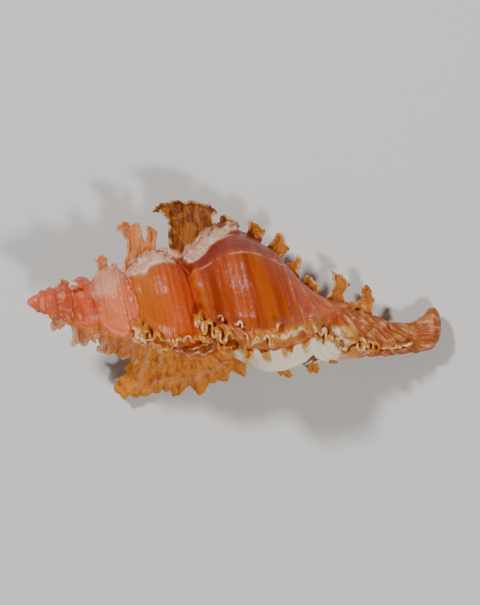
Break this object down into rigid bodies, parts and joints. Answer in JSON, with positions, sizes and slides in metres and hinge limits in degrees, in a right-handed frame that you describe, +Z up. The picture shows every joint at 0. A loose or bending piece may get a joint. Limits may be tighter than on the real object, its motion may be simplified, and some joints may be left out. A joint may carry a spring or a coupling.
{
  "type": "murex sea shell",
  "caption": "Small spired murex shell with frilled varices and a long open canal, lying on its back with the outer lip up.",
  "frame": {"origin": "on the surface that the shell lies on, under the middle of its bounding box", "axes": "+X from the apex towards the tip of the siphonal canal, +Y towards the row of tall fronds, +Z up, out of the back that it lies on"},
  "size_m": [0.0372, 0.019, 0.0149],
  "materials": {
    "shell_wall": "satin, orange with paler frills"
  },
  "bodies": {
    "root": {"shell": "shell_wall"}
  },
  "joints": []
}
